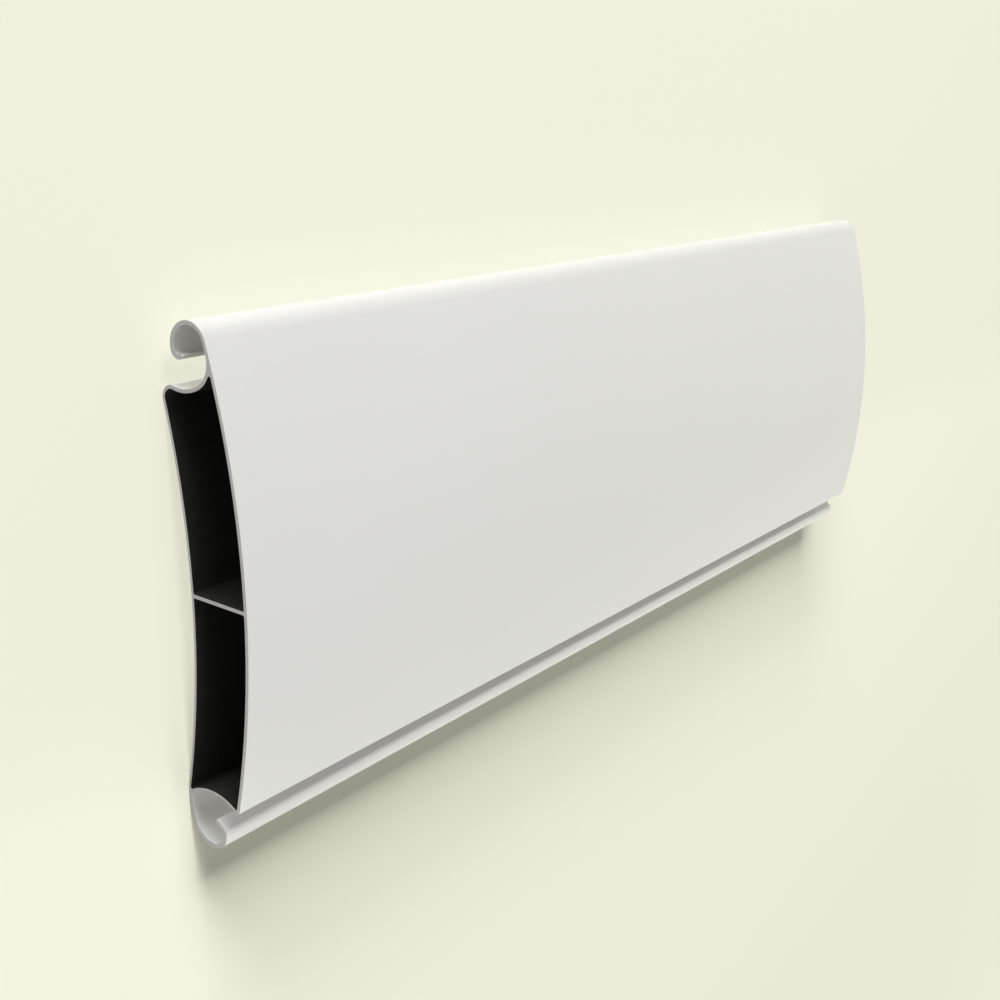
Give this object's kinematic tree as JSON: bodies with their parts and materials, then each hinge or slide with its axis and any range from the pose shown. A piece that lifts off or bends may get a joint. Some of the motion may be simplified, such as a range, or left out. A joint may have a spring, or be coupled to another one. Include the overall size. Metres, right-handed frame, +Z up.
{
  "type": "roller shutter slat",
  "caption": "Curved hollow extruded aluminium slat for a roller shutter, with a web between its chambers and interlocking hooks along both long edges.",
  "frame": {"origin": "middle of the slat's box, on the floor that it lies on", "axes": "+X along the slat, +Y towards the upper hook, +Z up through the bowed front face"},
  "size_m": [0.3, 0.1086, 0.02],
  "materials": {
    "powder_coat": "satin white powder coat on extruded aluminium, bare saw-cut ends"
  },
  "bodies": {
    "root": {"slat": "powder_coat"}
  },
  "joints": []
}
